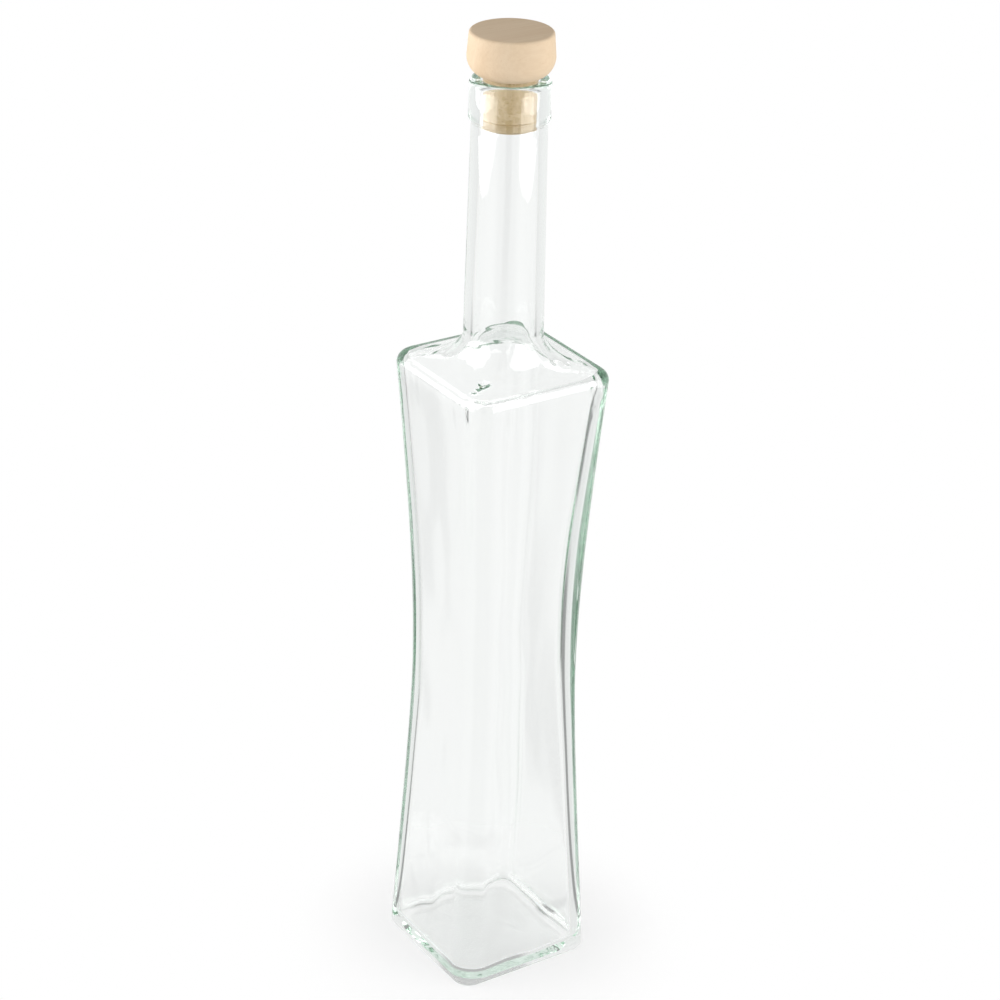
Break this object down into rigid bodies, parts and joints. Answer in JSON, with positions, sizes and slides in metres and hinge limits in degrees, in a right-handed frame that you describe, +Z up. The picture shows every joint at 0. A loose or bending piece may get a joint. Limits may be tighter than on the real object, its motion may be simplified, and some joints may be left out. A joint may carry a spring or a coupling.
{
  "type": "glass bottle with stopper",
  "caption": "Tall clear glass bottle with a waisted square body, a long round neck and a wooden-headed push-in stopper.",
  "frame": {"origin": "centre of the square base on the standing surface", "axes": "+Z up the bottle's axis, towards the stopper; X and Y across the flat faces of the body"},
  "size_m": [0.0586, 0.0586, 0.3608],
  "materials": {
    "clear_glass": "smooth, clear, with a faint green tint where the glass is thick",
    "pale_wood": "fine sanded, matt, unvarnished",
    "plug": "fine pressed cork, satin"
  },
  "bodies": {
    "bottle": {"glass_bottle": "clear_glass"},
    "stopper": {"stopper_head": "pale_wood", "stopper_shank": "plug"}
  },
  "joints": [
    {"name": "stopper_pull", "type": "slide", "parent": "bottle", "child": "stopper", "axis": [0, 0, 1], "range_m": [-0.0009, 0.045]}
  ]
}
